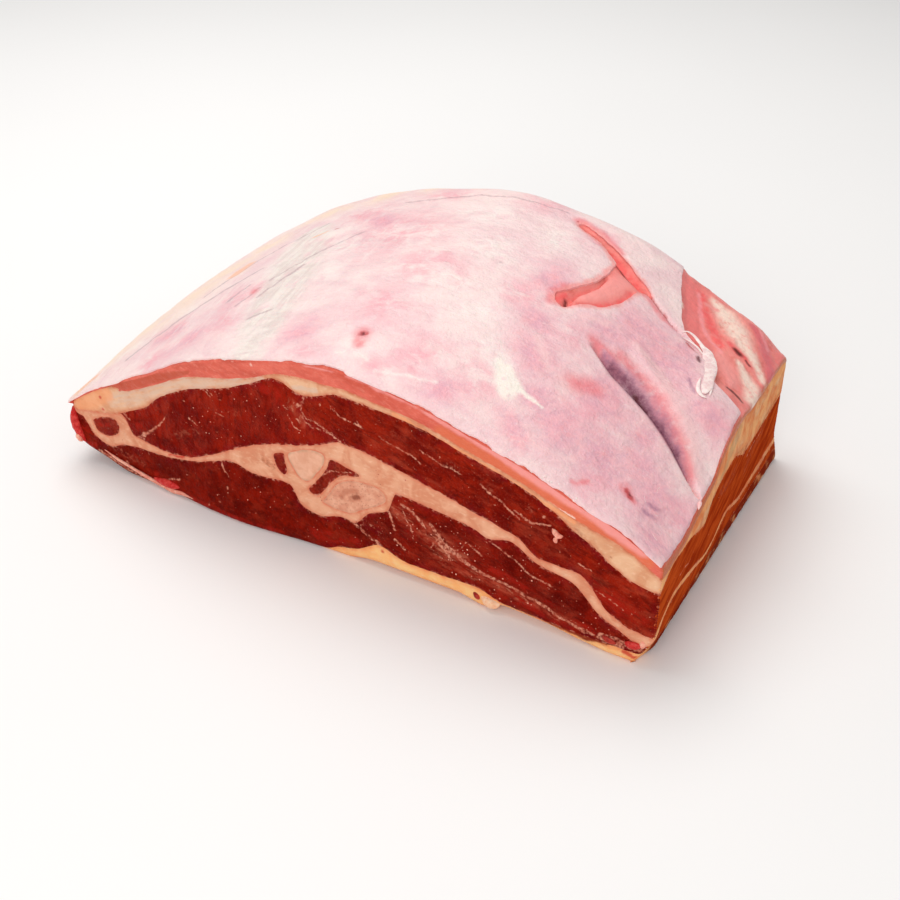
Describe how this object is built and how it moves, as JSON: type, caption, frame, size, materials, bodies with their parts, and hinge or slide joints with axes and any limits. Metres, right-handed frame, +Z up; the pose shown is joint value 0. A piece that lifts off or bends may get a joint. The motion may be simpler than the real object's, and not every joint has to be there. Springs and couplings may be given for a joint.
{
  "type": "raw bone-in beef joint",
  "caption": "Raw bone-in beef joint: a domed block under a pale membrane, with saw-cut sides showing lean, fat and bone.",
  "frame": {"origin": "on the surface the joint rests on, under the middle of its box", "axes": "+X along the saw-cut front towards the saw-cut right side, +Y from the front cut to the back, +Z up"},
  "size_m": [0.2656, 0.152, 0.098],
  "materials": {
    "membrane": "moist pink and lilac membrane over a thin red muscle",
    "fat": "cream to peach beef fat, cut face",
    "lean": "raw dark red beef, cut face",
    "bone": "sawn bone with a dark marrow",
    "cartilage": "pale sawn cartilage"
  },
  "bodies": {
    "root": {"cover_sheet": "membrane", "fat_cap": "fat", "fat_seam": "fat", "floor_fat": "fat", "upper_lean_left": "lean", "upper_lean_right": "lean", "lower_lean_left": "lean", "lower_lean_right": "lean", "seam_lean_small": "lean", "seam_lean_large": "lean", "eye_lean": "lean", "cartilage": "cartilage", "marrow_bone": "bone"}
  },
  "joints": []
}
